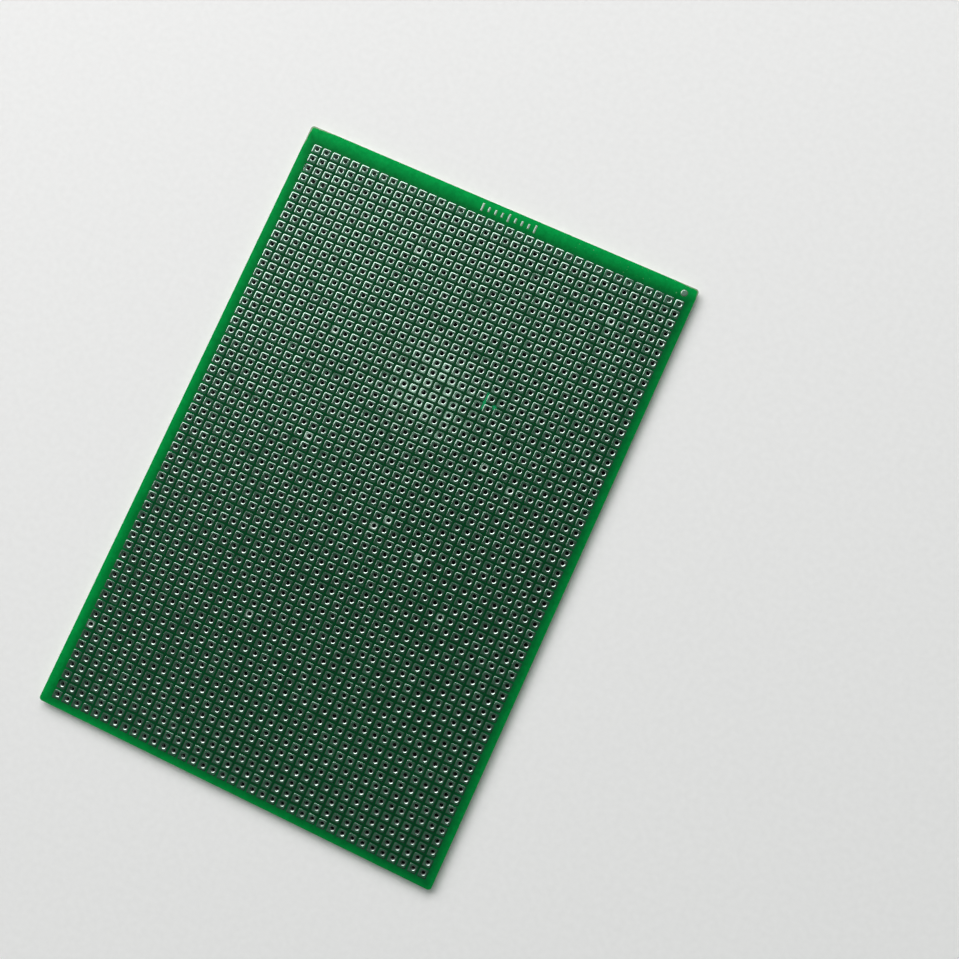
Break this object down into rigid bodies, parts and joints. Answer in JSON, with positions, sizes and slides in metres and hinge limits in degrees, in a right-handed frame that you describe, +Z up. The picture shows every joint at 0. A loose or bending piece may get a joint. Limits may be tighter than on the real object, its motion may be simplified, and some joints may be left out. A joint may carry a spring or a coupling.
{
  "type": "prototype board",
  "caption": "Bare double-sided prototype board: a green glass-epoxy sheet with a grid of plated-through holes in square tinned pads, to solder components to.",
  "frame": {"origin": "centre of the board's underside", "axes": "+X across the columns of holes, +Y along them towards the margin that holds the marks, +Z up out of the face that holds the marks"},
  "size_m": [0.1006, 0.15, 0.0016],
  "materials": {
    "solder_mask": "glossy green solder mask over glass-epoxy laminate, with bare pale edges",
    "tin": "hot-levelled tin over copper, smooth and slightly crowned"
  },
  "bodies": {
    "root": {"substrate": "solder_mask", "margin_marks": "tin", "pads_column_01": "tin", "pads_column_02": "tin", "pads_column_03": "tin", "pads_column_04": "tin", "pads_column_05": "tin", "pads_column_06": "tin", "pads_column_07": "tin", "pads_column_08": "tin", "pads_column_09": "tin", "pads_column_10": "tin", "pads_column_11": "tin", "pads_column_12": "tin", "pads_column_13": "tin", "pads_column_14": "tin", "pads_column_15": "tin", "pads_column_16": "tin", "pads_column_17": "tin", "pads_column_18": "tin", "pads_column_19": "tin", "pads_column_20": "tin", "pads_column_21": "tin", "pads_column_22": "tin", "pads_column_23": "tin", "pads_column_24": "tin", "pads_column_25": "tin", "pads_column_26": "tin", "pads_column_27": "tin", "pads_column_28": "tin", "pads_column_29": "tin", "pads_column_30": "tin", "pads_column_31": "tin", "pads_column_32": "tin", "pads_column_33": "tin", "pads_column_34": "tin", "pads_column_35": "tin", "pads_column_36": "tin", "pads_column_37": "tin", "pads_column_38": "tin"}
  },
  "joints": []
}
